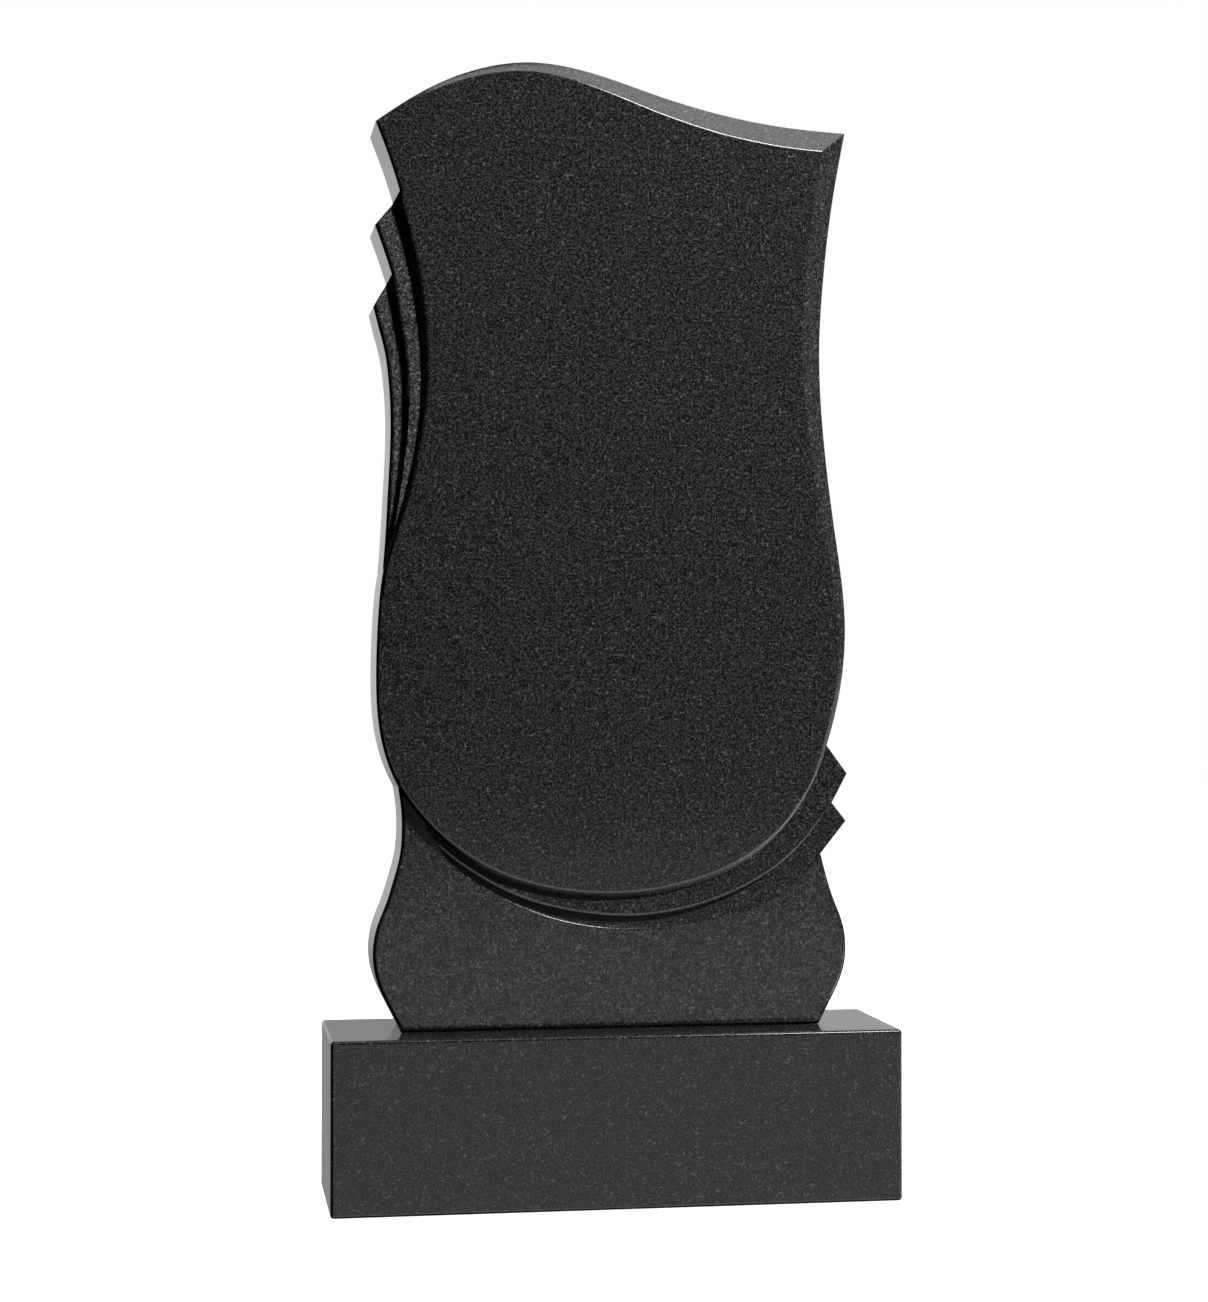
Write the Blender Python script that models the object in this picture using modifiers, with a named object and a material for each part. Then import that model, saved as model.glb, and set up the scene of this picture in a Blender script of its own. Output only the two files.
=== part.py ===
"""Polished granite headstone: a slab carved in stepped tiers, standing on a plain block.

Metres, +Z up, -Y is the front. The origin is the middle of the plinth's underside.
"""
import bmesh
import bpy
import numpy as np

# Driving sizes
PLINTH_WIDTH = 0.500
PLINTH_DEPTH = 0.150
PLINTH_HEIGHT = 0.150
PLINTH_ARRIS = 0.003
SLAB_WIDTH = 0.422
SLAB_HEIGHT = 0.849
SLAB_THICKNESS = 0.075
SLAB_ARRIS = 0.0025
FOOT_ARRIS = 0.0036
TIP_ARRIS = 0.0008
JOINT_GAP = 0.0003
SAMPLE_SPACING = 0.011
CURVE_STEPS = 16

# How far each carved face lies behind the main panel's face
BASE_RECESS = 0.008
UPPER_PETAL_RECESS = [(0.0030, 0.0070), (0.0058, 0.0118)]
LOWER_PETAL_RECESS = [(0.0065, 0.0019), (0.0119, 0.0069)]
LOWER_PETAL_LEAN = 0.02
BEVEL_SEAT = 0.00035
LOWER_PETAL_BEVEL = 0.0027
LOWER_PETAL_BEVEL_DEPTH = 0.0018
CREASE_ARRIS = 0.0020

# The outlines below are drawn in millimetres on a slab of this size, from its centre line and its
# foot, clockwise as seen from the front. They stretch with the slab's own width and height.
DRAWN_WIDTH = 422
DRAWN_HEIGHT = 849

# The main panel's edge, from the top right corner down the right, round the bottom and up to the
# first notch on the left: x, z, width of the bevel there and depth of the bevel at its foot.
PANEL_SIDE = [
    (211, 797, 20, 10), (199.5, 735, 18, 9.5), (191.5, 670, 18, 9.5), (187.4, 605, 18, 9.5),
    (191, 520, 15, 8), (201.5, 432, 11, 6), (209, 362, 6.6, 4), (206, 308, 5, 3.2),
    (193.6, 254, 3.4, 2.4), (178.7, 215, 1.8, 1.4), (151.7, 175, 2.4, 1.8), (116, 145.3, 4, 2.6),
    (67.5, 124.3, 5.4, 3), (0, 115, 5.4, 3), (-61, 121.2, 5.4, 3), (-109.4, 138, 5.2, 3),
    (-149.6, 165, 4.6, 3), (-176, 193, 3.6, 2.8), (-192, 218, 2.5, 2.5), (-204.5, 254.5, 2.5, 2.5),
    (-209, 318, 2.5, 2.5), (-207, 366, 2.5, 2.5), (-202.5, 403, 2.3, 3.4), (-191, 443.5, 2.4, 4),
    (-181.5, 480, 3.8, 4.4), (-173, 528, 5.6, 5), (-170.8, 572, 7.4, 5.6), (-174.2, 617.5, 9.2, 6.2),
    (-183.5, 672, 10.3, 7), (-196, 719, 10.3, 7.6),
]
PANEL_SHOULDER = [(-189, 732), (-196.8, 757), (-203.8, 776), (-210, 792)]
PANEL_TOP = [
    (-210, 792, 3, 1.6), (-172, 817.8, 3.8, 2), (-128, 838.6, 6.4, 3.3), (-75, 849, 9.4, 4.8),
    (-20, 842.2, 12.7, 6.4), (40, 824.6, 16.2, 8.2), (100, 809.5, 19, 9.5), (158, 800.6, 20, 10),
    (211, 797, 20, 10),
]

# Upper left petals, cut back behind the panel: each runs out against the panel's edge at its foot.
PETALS_RUN_OUT = 400
FIRST_PETAL_SIDE = [
    (-199, 372, 2.3), (-201.5, 398, 2.3), (-199, 422, 2.3), (-192.5, 462, 2.3), (-187.6, 500, 2.5),
    (-185.7, 545, 4.4), (-188, 586, 6.2), (-194.2, 618, 7.7), (-200.6, 650, 8.8),
]
FIRST_PETAL_SHOULDER = [(-195.4, 660), (-202.6, 682), (-210, 702.6)]
FIRST_PETAL_TOP = [(-210, 702.6), (-197, 718), (-180, 735)]
FIRST_PETAL_BACK = [(-180, 735), (-120, 735), (-120, 372), (-199, 372)]
SECOND_PETAL_SIDE = [
    (-201, 372), (-203, 396), (-201.5, 420), (-199, 462), (-196.4, 512), (-196.4, 545), (-198.6, 575),
    (-201.6, 595), (-206, 612), (-211, 632),
]
SECOND_PETAL_TOP = [(-211, 632), (-201, 649), (-186, 668)]
SECOND_PETAL_BACK = [(-186, 668), (-125, 668), (-125, 372), (-201, 372)]

# Lower right petals, which run out against the panel at the lower left.
LOWER_PETALS_FOOT = 90
THIRD_PETAL_TOP = [(180, 266), (194, 246.5), (211, 223.2)]
THIRD_PETAL_TIP = [(211, 223.2), (198, 198.8)]
THIRD_PETAL_EDGE = [
    (198, 198.8), (168.5, 160.2), (132, 131), (77, 107), (22.6, 97.7), (-31, 101.3), (-85, 116),
    (-130, 140.5), (-163, 169), (-174, 192), (-172, 214),
]
THIRD_PETAL_BACK = [(-172, 214), (-120, 270), (180, 266)]
FOURTH_PETAL_TOP = [(180, 217), (199, 196), (211, 180.7)]
FOURTH_PETAL_TIP = [(211, 180.7), (188, 152), (160, 110)]
FOURTH_PETAL_BACK = [(160, 110), (60, 66), (-60, 74), (-165, 145), (-165, 205), (180, 217)]

# The base's side from its foot up, the same on both sides, and the crease that it turns to the petals.
BASE_SIDE = [
    (186, 0), (196, 19.5), (205, 38), (210, 55), (211, 70), (208, 90), (200, 111), (193, 133),
    (188, 152),
]
BASE_NECK = [(-188, 152), (-186, 173), (-186.6, 194), (-191, 222)]
BASE_CREASE = [
    (-165, 200), (-150, 156), (-119, 128.5), (-84, 110.6), (-49, 97.8), (-13, 90.6), (23, 88.6),
    (59, 91), (95, 97.8), (131, 107.8), (158.5, 124.5), (188, 152),
]

STONE_COLOURS = {"stele": (0.030, 0.031, 0.033), "plinth": (0.034, 0.035, 0.037)}
POLISH_ROUGHNESS = 0.22
MERGE_DISTANCE = 1e-6


def on_slab(points):
    """Drawn points as metres on the slab. Any further columns are millimetres that don't stretch."""
    table = np.array(points, float)
    table[:, 0] *= SLAB_WIDTH / DRAWN_WIDTH
    table[:, 1] *= SLAB_HEIGHT / DRAWN_HEIGHT
    table[:, 2:] /= 1000
    return table


def straight_path(points):
    """Straight runs between the points, sampled at the same spacing as the curves."""
    knots = on_slab(points)
    samples = [knots[:1]]
    for start, end in zip(knots, knots[1:]):
        steps = max(1, round(np.linalg.norm(end[:2] - start[:2]) / SAMPLE_SPACING))
        share = np.linspace(0, 1, steps + 1)[1:, None]
        samples.append(start * (1 - share) + end * share)
    return np.vstack(samples)


def smooth_path(points):
    """A natural cubic spline through the points, with its further columns following along it."""
    knots = on_slab(points)
    places = knots[:, :2]
    spans = np.linalg.norm(np.diff(places, axis=0), axis=1)
    slopes = np.diff(places, axis=0) / spans[:, None]
    system = np.eye(len(knots))
    change = np.zeros_like(places)
    for i in range(1, len(knots) - 1):
        system[i, i - 1:i + 2] = spans[i - 1], 2 * (spans[i - 1] + spans[i]), spans[i]
        change[i] = 6 * (slopes[i] - slopes[i - 1])
    bend = np.linalg.solve(system, change)
    samples = []
    for i, span in enumerate(spans):
        for share in np.arange(CURVE_STEPS) / CURVE_STEPS:
            ahead = share * span
            left = span - ahead
            place = (bend[i] * left ** 3 + bend[i + 1] * ahead ** 3) / (6 * span)
            place += (places[i] / span - bend[i] * span / 6) * left
            place += (places[i + 1] / span - bend[i + 1] * span / 6) * ahead
            samples.append([*place, *(knots[i, 2:] * (1 - share) + knots[i + 1, 2:] * share)])
    samples.append(knots[-1])
    return evenly_sampled(np.array(samples), max(3, round(spans.sum() / SAMPLE_SPACING) + 1))


def bevelled(path, width, depth):
    """The path with a bevel of this width and depth: one value, or a value for each sample."""
    full_width = np.broadcast_to(width, len(path))
    full_depth = np.broadcast_to(depth, len(path))
    return np.column_stack([path[:, :2], full_width, full_depth])


def moved_inward(path):
    """The path moved to its right by its own bevel width, which is inward on a clockwise outline."""
    along = np.gradient(path[:, :2], axis=0)
    along /= np.linalg.norm(along, axis=1)[:, None]
    inward = np.column_stack([along[:, 1], -along[:, 0]])
    return path[:, :2] + inward * path[:, 2:3]


def trimmed_at_corner(first, second, reach=0.06):
    """Both paths cut where the first one's end meets the second one's start, run on straight if short."""
    tail = first[-1] + (first[-1] - first[-2]) / np.linalg.norm(first[-1] - first[-2]) * reach
    head = second[0] - (second[1] - second[0]) / np.linalg.norm(second[1] - second[0]) * reach
    leading = np.vstack([first, tail])
    following = np.vstack([head, second])
    for i in range(len(leading) - 2, -1, -1):
        for j in range(len(following) - 1):
            run = leading[i + 1] - leading[i]
            other = following[j + 1] - following[j]
            turn = run[0] * other[1] - run[1] * other[0]
            if abs(turn) < 1e-12:
                continue
            gap = following[j] - leading[i]
            share = (gap[0] * other[1] - gap[1] * other[0]) / turn
            other_share = (gap[0] * run[1] - gap[1] * run[0]) / turn
            if 0 <= share <= 1 and 0 <= other_share <= 1:
                corner = leading[i] + run * share
                return np.vstack([leading[:i + 1], corner]), np.vstack([corner, following[j + 1:]])
    raise ValueError("two bevelled edges of the outline don't meet at their corner")


def evenly_sampled(path, count):
    """The same line with this many samples, evenly spread along it."""
    spans = np.linalg.norm(np.diff(path[:, :2], axis=0), axis=1)
    along = np.concatenate([[0], np.cumsum(spans)])
    wanted = np.linspace(0, along[-1], count)
    return np.column_stack([np.interp(wanted, along, column) for column in path.T])


def inner_edges(stretches):
    """The inner edge of the bevel along each stretch of a closed clockwise outline, mitred at corners.

    Where one stretch ends short of the next one, at a notch, the two are left as they are.
    """
    inner = [moved_inward(stretch) for stretch in stretches]
    for i in range(len(inner)):
        after = (i + 1) % len(inner)
        if np.allclose(stretches[i][-1, :2], stretches[after][0, :2]):
            inner[i], inner[after] = trimmed_at_corner(inner[i], inner[after])
    return [evenly_sampled(path, len(stretch)) for path, stretch in zip(inner, stretches)]


def stone_tier(name, stretches, recess):
    """A tier of the slab, right through its thickness, from a closed clockwise outline.

    recess(x, z) gives how far its face lies behind the main panel's face.
    """
    outer = np.vstack(stretches)
    inner = np.vstack(inner_edges(stretches))
    back_edge = np.vstack(inner_edges([bevelled(path, SLAB_ARRIS, SLAB_ARRIS) for path in stretches]))
    front = -SLAB_THICKNESS / 2
    back = SLAB_THICKNESS / 2
    rings = [
        (inner, front + recess(inner[:, 0], inner[:, 1])),
        (outer, front + recess(outer[:, 0], outer[:, 1]) + outer[:, 3]),
        (outer, np.full(len(outer), back - SLAB_ARRIS)),
        (back_edge, np.full(len(outer), back)),
    ]
    foot = PLINTH_HEIGHT + JOINT_GAP
    mesh = bmesh.new()
    rows = []
    for points, depths in rings:
        row = [mesh.verts.new((x, y, z + foot)) for (x, z), y in zip(points[:, :2], depths)]
        rows.append(row)
    mesh.faces.new(rows[0])
    mesh.faces.new(rows[-1][::-1])
    for ahead, behind in zip(rows, rows[1:]):
        for i in range(len(outer)):
            after = (i + 1) % len(outer)
            mesh.faces.new((ahead[i], behind[i], behind[after], ahead[after]))
    bmesh.ops.remove_doubles(mesh, verts=mesh.verts[:], dist=MERGE_DISTANCE)
    bmesh.ops.recalc_face_normals(mesh, faces=mesh.faces[:])
    data = bpy.data.meshes.new(name)
    mesh.to_mesh(data)
    mesh.free()
    return bpy.data.objects.new(name, data)


def share_between(value, start, end):
    """Where a value lies between two others, as a share from 0 to 1."""
    return np.clip((value - start) / (end - start), 0, 1)


def panel_recess(x, z):
    """The main panel's own face."""
    return np.zeros(len(x))


def base_recess(x, z):
    """The base's flat face."""
    return np.full(len(x), BASE_RECESS)


def upper_petal_recess(number, point):
    """A petal's face that sinks evenly from where it runs out to its point."""
    shallow, deep = UPPER_PETAL_RECESS[number]
    stretch = SLAB_HEIGHT / DRAWN_HEIGHT
    low = PETALS_RUN_OUT * stretch
    high = point[1] * stretch

    def recess(x, z):
        return shallow + (deep - shallow) * np.maximum(0, (z - low) / (high - low))

    return recess


def lower_petal_recess(number):
    """A petal's face that rises evenly from the left of the slab to the right, and leans upwards."""
    left, right = LOWER_PETAL_RECESS[number]
    foot = LOWER_PETALS_FOOT * SLAB_HEIGHT / DRAWN_HEIGHT

    def recess(x, z):
        across = share_between(x, -SLAB_WIDTH / 2, SLAB_WIDTH / 2)
        return left + (right - left) * across + LOWER_PETAL_LEAN * (z - foot)

    return recess


def main_panel():
    """The foremost tier, with its wide bevel along the top and down the right."""
    side = smooth_path(PANEL_SIDE)
    recess = upper_petal_recess(0, FIRST_PETAL_TOP[0])
    beside_petals = (side[:, 0] < 0) & (side[:, 1] > PETALS_RUN_OUT * SLAB_HEIGHT / DRAWN_HEIGHT)
    side[beside_petals, 3] = recess(side[:, 0], side[:, 1])[beside_petals] + BEVEL_SEAT
    shoulder = bevelled(smooth_path(PANEL_SHOULDER), SLAB_ARRIS, SLAB_ARRIS)
    return stone_tier("main_panel", [side, shoulder, smooth_path(PANEL_TOP)], panel_recess)


def first_petal():
    """The upper left petal next to the panel. Its own edge steps down to the petal beyond it."""
    recess = upper_petal_recess(0, FIRST_PETAL_TOP[0])
    beyond = upper_petal_recess(1, SECOND_PETAL_TOP[0])
    side = smooth_path(FIRST_PETAL_SIDE)
    x, z, width = side.T
    side = bevelled(side, width, beyond(x, z) - recess(x, z) + BEVEL_SEAT)
    shoulder = bevelled(smooth_path(FIRST_PETAL_SHOULDER), SLAB_ARRIS, SLAB_ARRIS)
    top = bevelled(smooth_path(FIRST_PETAL_TOP), TIP_ARRIS, TIP_ARRIS)
    hidden = bevelled(straight_path(FIRST_PETAL_BACK), TIP_ARRIS, TIP_ARRIS)
    return stone_tier("first_petal", [side, shoulder, top, hidden], recess)


def second_petal():
    """The outermost upper left petal."""
    side = bevelled(smooth_path(SECOND_PETAL_SIDE), SLAB_ARRIS, SLAB_ARRIS)
    top = bevelled(smooth_path(SECOND_PETAL_TOP), TIP_ARRIS, TIP_ARRIS)
    hidden = bevelled(straight_path(SECOND_PETAL_BACK), TIP_ARRIS, TIP_ARRIS)
    return stone_tier("second_petal", [side, top, hidden], upper_petal_recess(1, SECOND_PETAL_TOP[0]))


def third_petal():
    """The lower right petal next to the panel. Its bevel narrows towards the tip at the right."""
    top = bevelled(smooth_path(THIRD_PETAL_TOP), TIP_ARRIS, TIP_ARRIS)
    tip = bevelled(straight_path(THIRD_PETAL_TIP), TIP_ARRIS, TIP_ARRIS)
    edge = smooth_path(THIRD_PETAL_EDGE)
    narrowing = share_between(edge[:, 0], SLAB_WIDTH / 8, SLAB_WIDTH / 2)
    width = LOWER_PETAL_BEVEL + (TIP_ARRIS - LOWER_PETAL_BEVEL) * narrowing
    depth = LOWER_PETAL_BEVEL_DEPTH + (TIP_ARRIS - LOWER_PETAL_BEVEL_DEPTH) * narrowing
    edge = bevelled(edge, width, depth)
    hidden = bevelled(straight_path(THIRD_PETAL_BACK), TIP_ARRIS, TIP_ARRIS)
    return stone_tier("third_petal", [top, tip, edge, hidden], lower_petal_recess(0))


def fourth_petal():
    """The lowest right petal, which the base's crease meets from below."""
    top = smooth_path(FOURTH_PETAL_TOP)
    tip = straight_path(FOURTH_PETAL_TIP)
    hidden = straight_path(FOURTH_PETAL_BACK)
    stretches = [bevelled(path, TIP_ARRIS, TIP_ARRIS) for path in (top, tip, hidden)]
    return stone_tier("fourth_petal", stretches, lower_petal_recess(1))


def base_tier():
    """The flared base under the panel. Its crease sharpens towards its hidden end at the left."""
    right_side = BASE_SIDE[::-1]
    left_side = [(-x, z) for x, z in BASE_SIDE]
    foot = [BASE_SIDE[0], left_side[0]]
    hidden = [BASE_NECK[-1], BASE_CREASE[0]]
    crease = smooth_path(BASE_CREASE)
    widening = share_between(crease[:, 0], -SLAB_WIDTH * 3 / 8, -SLAB_WIDTH / 5)
    crease_arris = TIP_ARRIS + (CREASE_ARRIS - TIP_ARRIS) * widening
    stretches = [
        bevelled(smooth_path(right_side), SLAB_ARRIS, SLAB_ARRIS),
        bevelled(straight_path(foot), FOOT_ARRIS, FOOT_ARRIS),
        bevelled(smooth_path(left_side[:-1] + BASE_NECK), SLAB_ARRIS, SLAB_ARRIS),
        bevelled(straight_path(hidden), TIP_ARRIS, TIP_ARRIS),
        bevelled(crease, crease_arris, crease_arris),
    ]
    return stone_tier("base_tier", stretches, base_recess)


def join(body, tiers):
    """Makes one stone of a body and the collection of tiers that overlap it."""
    union = body.modifiers.new("joined tiers", "BOOLEAN")
    union.operation = "UNION"
    union.solver = "EXACT"
    union.use_self = True
    union.operand_type = "COLLECTION"
    union.collection = tiers
    for tier in tiers.objects:
        tier.hide_render = True
        tier.display_type = "WIRE"


def plinth_block():
    """The plain block, with its sharp edges taken off."""
    mesh = bmesh.new()
    bmesh.ops.create_cube(mesh, size=1)
    bmesh.ops.scale(mesh, vec=(PLINTH_WIDTH, PLINTH_DEPTH, PLINTH_HEIGHT), verts=mesh.verts)
    bmesh.ops.translate(mesh, vec=(0, 0, PLINTH_HEIGHT / 2), verts=mesh.verts)
    data = bpy.data.meshes.new("plinth")
    mesh.to_mesh(data)
    mesh.free()
    block = bpy.data.objects.new("plinth", data)
    arris = block.modifiers.new("arris", "BEVEL")
    arris.width = PLINTH_ARRIS
    arris.segments = 3
    return block


def polished_stone(name):
    """Dark polished granite in the tone of the named piece."""
    material = bpy.data.materials.new(name + "_stone")
    material.use_nodes = True
    shader = material.node_tree.nodes["Principled BSDF"]
    shader.inputs["Base Color"].default_value = (*STONE_COLOURS[name], 1)
    shader.inputs["Roughness"].default_value = POLISH_ROUGHNESS
    shader.inputs["Metallic"].default_value = 0.0
    return material


def main():
    """Clears the scene and builds the two stones."""
    for old in list(bpy.data.objects):
        bpy.data.objects.remove(old)
    parts = bpy.data.collections.new("headstone")
    tiers = bpy.data.collections.new("joined_tiers")
    for collection in (parts, tiers):
        bpy.context.scene.collection.children.link(collection)
    stele = main_panel()
    stele.name = "stele"
    for tier in (first_petal(), second_petal(), third_petal(), fourth_petal(), base_tier()):
        tiers.objects.link(tier)
    join(stele, tiers)
    for piece in (stele, plinth_block()):
        parts.objects.link(piece)
        piece.data.materials.append(polished_stone(piece.name))


main()
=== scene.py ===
"""Dresses the headstone: the carved slab, the plinth under it, their polished granite and the stage.

Everything is in metres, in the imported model's frame: +Z up, -Y out of the carved front.
"""
import math

import bmesh
import bpy
import numpy as np
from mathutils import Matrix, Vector


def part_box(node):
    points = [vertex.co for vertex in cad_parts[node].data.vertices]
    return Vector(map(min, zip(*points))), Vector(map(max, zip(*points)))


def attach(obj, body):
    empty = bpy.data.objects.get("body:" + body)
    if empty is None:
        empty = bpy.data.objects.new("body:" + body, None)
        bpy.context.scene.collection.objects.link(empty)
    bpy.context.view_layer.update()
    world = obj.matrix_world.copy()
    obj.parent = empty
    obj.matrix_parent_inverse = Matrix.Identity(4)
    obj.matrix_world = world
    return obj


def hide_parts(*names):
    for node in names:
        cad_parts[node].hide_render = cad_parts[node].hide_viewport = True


bl_info = {
    "name": "Carved headstone",
    "version": (1, 0, 0),
    "blender": (4, 5, 0),
    "location": "3D View > Sidebar > Headstone",
    "description": "Builds a polished granite headstone and its plinth in their frame",
    "category": "Add Mesh",
}

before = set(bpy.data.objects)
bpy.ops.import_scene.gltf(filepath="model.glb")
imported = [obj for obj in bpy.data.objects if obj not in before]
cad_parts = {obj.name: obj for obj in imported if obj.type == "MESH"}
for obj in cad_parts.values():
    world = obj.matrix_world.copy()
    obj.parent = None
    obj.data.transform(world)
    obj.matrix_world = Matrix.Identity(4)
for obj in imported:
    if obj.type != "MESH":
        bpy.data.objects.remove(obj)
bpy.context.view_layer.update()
SLAB_LOW, SLAB_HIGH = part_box("stele")
SLAB_WIDTH = SLAB_HIGH.x - SLAB_LOW.x
SLAB_HEIGHT = SLAB_HIGH.z - SLAB_LOW.z
PLINTH_LOW, PLINTH_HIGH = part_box("plinth")

# The outlines are drawn in millimetres on a slab of this size, from its centre line and its foot,
# clockwise as seen from the front. They stretch with the slab's own width and height.
DRAWN_WIDTH = 422
DRAWN_HEIGHT = 849

# The main panel's edge, from the top right corner down the right, round the bottom and up to the
# first notch on the left: x, z, width of the bevel there and depth of the bevel at its foot.
PANEL_SIDE = [
    (211, 797, 20, 10), (199.5, 735, 18, 9.5), (191.5, 670, 18, 9.5), (187.4, 605, 18, 9.5),
    (191, 520, 15, 8), (201.5, 432, 11, 6), (209, 362, 6.6, 4), (206, 308, 5, 3.2),
    (193.6, 254, 3.4, 2.4), (178.7, 215, 1.8, 1.4), (151.7, 175, 2.4, 1.8), (116, 145.3, 4, 2.6),
    (67.5, 124.3, 5.4, 3), (0, 115, 5.4, 3), (-61, 121.2, 5.4, 3), (-109.4, 138, 5.2, 3),
    (-149.6, 165, 4.6, 3), (-176, 193, 3.6, 2.8), (-192, 218, 2.5, 2.5), (-204.5, 254.5, 2.5, 2.5),
    (-209, 318, 2.5, 2.5), (-207, 366, 2.5, 2.5), (-202.5, 403, 2.3, 3.4), (-191, 443.5, 2.4, 4),
    (-181.5, 480, 3.8, 4.4), (-173, 528, 5.6, 5), (-170.8, 572, 7.4, 5.6), (-174.2, 617.5, 9.2, 6.2),
    (-183.5, 672, 10.3, 7), (-196, 719, 10.3, 7.6),
]
PANEL_SHOULDER = [(-189, 732), (-196.8, 757), (-203.8, 776), (-210, 792)]
PANEL_TOP = [
    (-210, 792, 3, 1.6), (-172, 817.8, 3.8, 2), (-128, 838.6, 6.4, 3.3), (-75, 849, 9.4, 4.8),
    (-20, 842.2, 12.7, 6.4), (40, 824.6, 16.2, 8.2), (100, 809.5, 19, 9.5), (158, 800.6, 20, 10),
    (211, 797, 20, 10),
]

# Upper left petals, cut back behind the panel: each runs out against the panel's edge at its foot.
PETALS_RUN_OUT = 400
FIRST_PETAL_SIDE = [
    (-199, 372, 2.3), (-201.5, 398, 2.3), (-199, 422, 2.3), (-192.5, 462, 2.3), (-187.6, 500, 2.5),
    (-185.7, 545, 4.4), (-188, 586, 6.2), (-194.2, 618, 7.7), (-200.6, 650, 8.8),
]
FIRST_PETAL_SHOULDER = [(-195.4, 660), (-202.6, 682), (-210, 702.6)]
FIRST_PETAL_TOP = [(-210, 702.6), (-197, 718), (-180, 735)]
FIRST_PETAL_BACK = [(-180, 735), (-120, 735), (-120, 372), (-199, 372)]
SECOND_PETAL_SIDE = [
    (-201, 372), (-203, 396), (-201.5, 420), (-199, 462), (-196.4, 512), (-196.4, 545), (-198.6, 575),
    (-201.6, 595), (-206, 612), (-211, 632),
]
SECOND_PETAL_TOP = [(-211, 632), (-201, 649), (-186, 668)]
SECOND_PETAL_BACK = [(-186, 668), (-125, 668), (-125, 372), (-201, 372)]

# Lower right petals, which run out against the panel at the lower left.
LOWER_PETALS_FOOT = 90
THIRD_PETAL_TOP = [(180, 266), (194, 246.5), (211, 223.2)]
THIRD_PETAL_TIP = [(211, 223.2), (198, 198.8)]
THIRD_PETAL_EDGE = [
    (198, 198.8), (168.5, 160.2), (132, 131), (77, 107), (22.6, 97.7), (-31, 101.3), (-85, 116),
    (-130, 140.5), (-163, 169), (-174, 192), (-172, 214),
]
THIRD_PETAL_BACK = [(-172, 214), (-120, 270), (180, 266)]
FOURTH_PETAL_TOP = [(180, 217), (199, 196), (211, 180.7)]
FOURTH_PETAL_TIP = [(211, 180.7), (188, 152), (160, 110)]
FOURTH_PETAL_BACK = [(160, 110), (60, 66), (-60, 74), (-165, 145), (-165, 205), (180, 217)]

# The base's side from its foot up, the same on both sides, its neck at the left, and its crease
# against the lower petals, from the left.
BASE_SIDE = [
    (186, 0), (196, 19.5), (205, 38), (210, 55), (211, 70), (208, 90), (200, 111), (193, 133),
    (188, 152),
]
BASE_NECK = [(-188, 152), (-186, 173), (-186.6, 194), (-191, 222)]
BASE_CREASE = [
    (-165, 200), (-150, 156), (-119, 128.5), (-84, 110.6), (-49, 97.8), (-13, 90.6), (23, 88.6),
    (59, 91), (95, 97.8), (131, 107.8), (158.5, 124.5), (188, 152),
]

# How far each carved face lies behind the main panel's face. An upper petal sinks from where it runs
# out to its point. A lower one rises from the slab's left to its right, and leans by a slope.
BASE_RECESS = 0.008
UPPER_PETAL_RECESS = [(0.0030, 0.0070), (0.0058, 0.0118)]
LOWER_PETAL_RECESS = [(0.0065, 0.0019), (0.0119, 0.0069)]
LOWER_PETAL_LEAN = 0.02

# Bevels of the edges that have none in the outlines. Each is as deep as it is wide, apart from the
# third petal's. The seat is how far a bevel's foot sinks into the tier behind it.
SLAB_ARRIS = 0.0025
FOOT_ARRIS = 0.0036
TIP_ARRIS = 0.0008
CREASE_ARRIS = 0.0020
LOWER_PETAL_BEVEL = 0.0027
LOWER_PETAL_BEVEL_DEPTH = 0.0018
BEVEL_SEAT = 0.00035
# The softened edge takes up at most this share of what a bevel is wider than a petal's sharp arris.
SOFT_SHARE = 0.6

# How the outlines are sampled, and how far a bevelled edge may run on to meet the next one.
CURVE_STEPS = 16
STRAIGHT_SPACING = 0.02
CORNER_REACH = 0.06
PARALLEL_TURN = 1e-12
MERGE_DISTANCE = 1e-6
# Faces that lean less than this out of the front's plane have no heading of their own.
FLAT_FACE = 0.05
# Samples along each edge of the plinth block.
BLOCK_SAMPLES = 13

# The noises of the granite: width against a fleck's, roughness and seed. The seed shifts each one
# to a place of its own.
CONTOUR_NOISE = (1.3, 0.5, 3.0)
GAP_NOISE = (1.1, 0.5, 11.0)
SPARK_NOISE = (0.6, 0.5, 23.0)
MOTTLE_NOISE = (0.55, 0.6, 31.0)
NOISE_DETAIL = 0.0
NOISE_MIDDLE = 0.5
SEED_SHIFT = (1, 0.37, -1)
# Where each noise begins to show and where it is full, and how light it turns the stone.
CONTOUR_STEP = (0.045, 0.0)
GAP_STEP = (0.45, 0.65)
SPARK_STEP = (0.72, 0.84)
MOTTLE_STEP = (0.35, 0.70)
CRYSTAL_LIGHT = 0.75
SPARK_LIGHT = 0.6
MOTTLE_LIGHT = 0.22
# How light each stone's granite is against the colours in the settings.
SLAB_BRIGHTNESS = 1.0
PLINTH_BRIGHTNESS = 0.85
# The upper petals, whose faces are painted paler than the panel, as soft steps: how far they lie
# behind the panel's face, how far they reach in from the slab's left edge, how high their foot is,
# and how squarely they face the front.
PALE_PETAL_RECESS = (0.002, 0.003)
PALE_PETAL_REACH = (0.060, 0.055)
PALE_PETAL_FOOT = (0.52, 0.56)
PALE_PETAL_FACING = (-0.95, -0.98)
# The honed back begins and is full this far in front of the back's plane. Light flecks are a little
# rougher than the dark mass.
HONED_DEPTH = (0.002, 0.0002)
HONED_ROUGHNESS = 0.22
FLECK_ROUGHNESS = 0.05
GRANITE_IOR = 1.45

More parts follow.
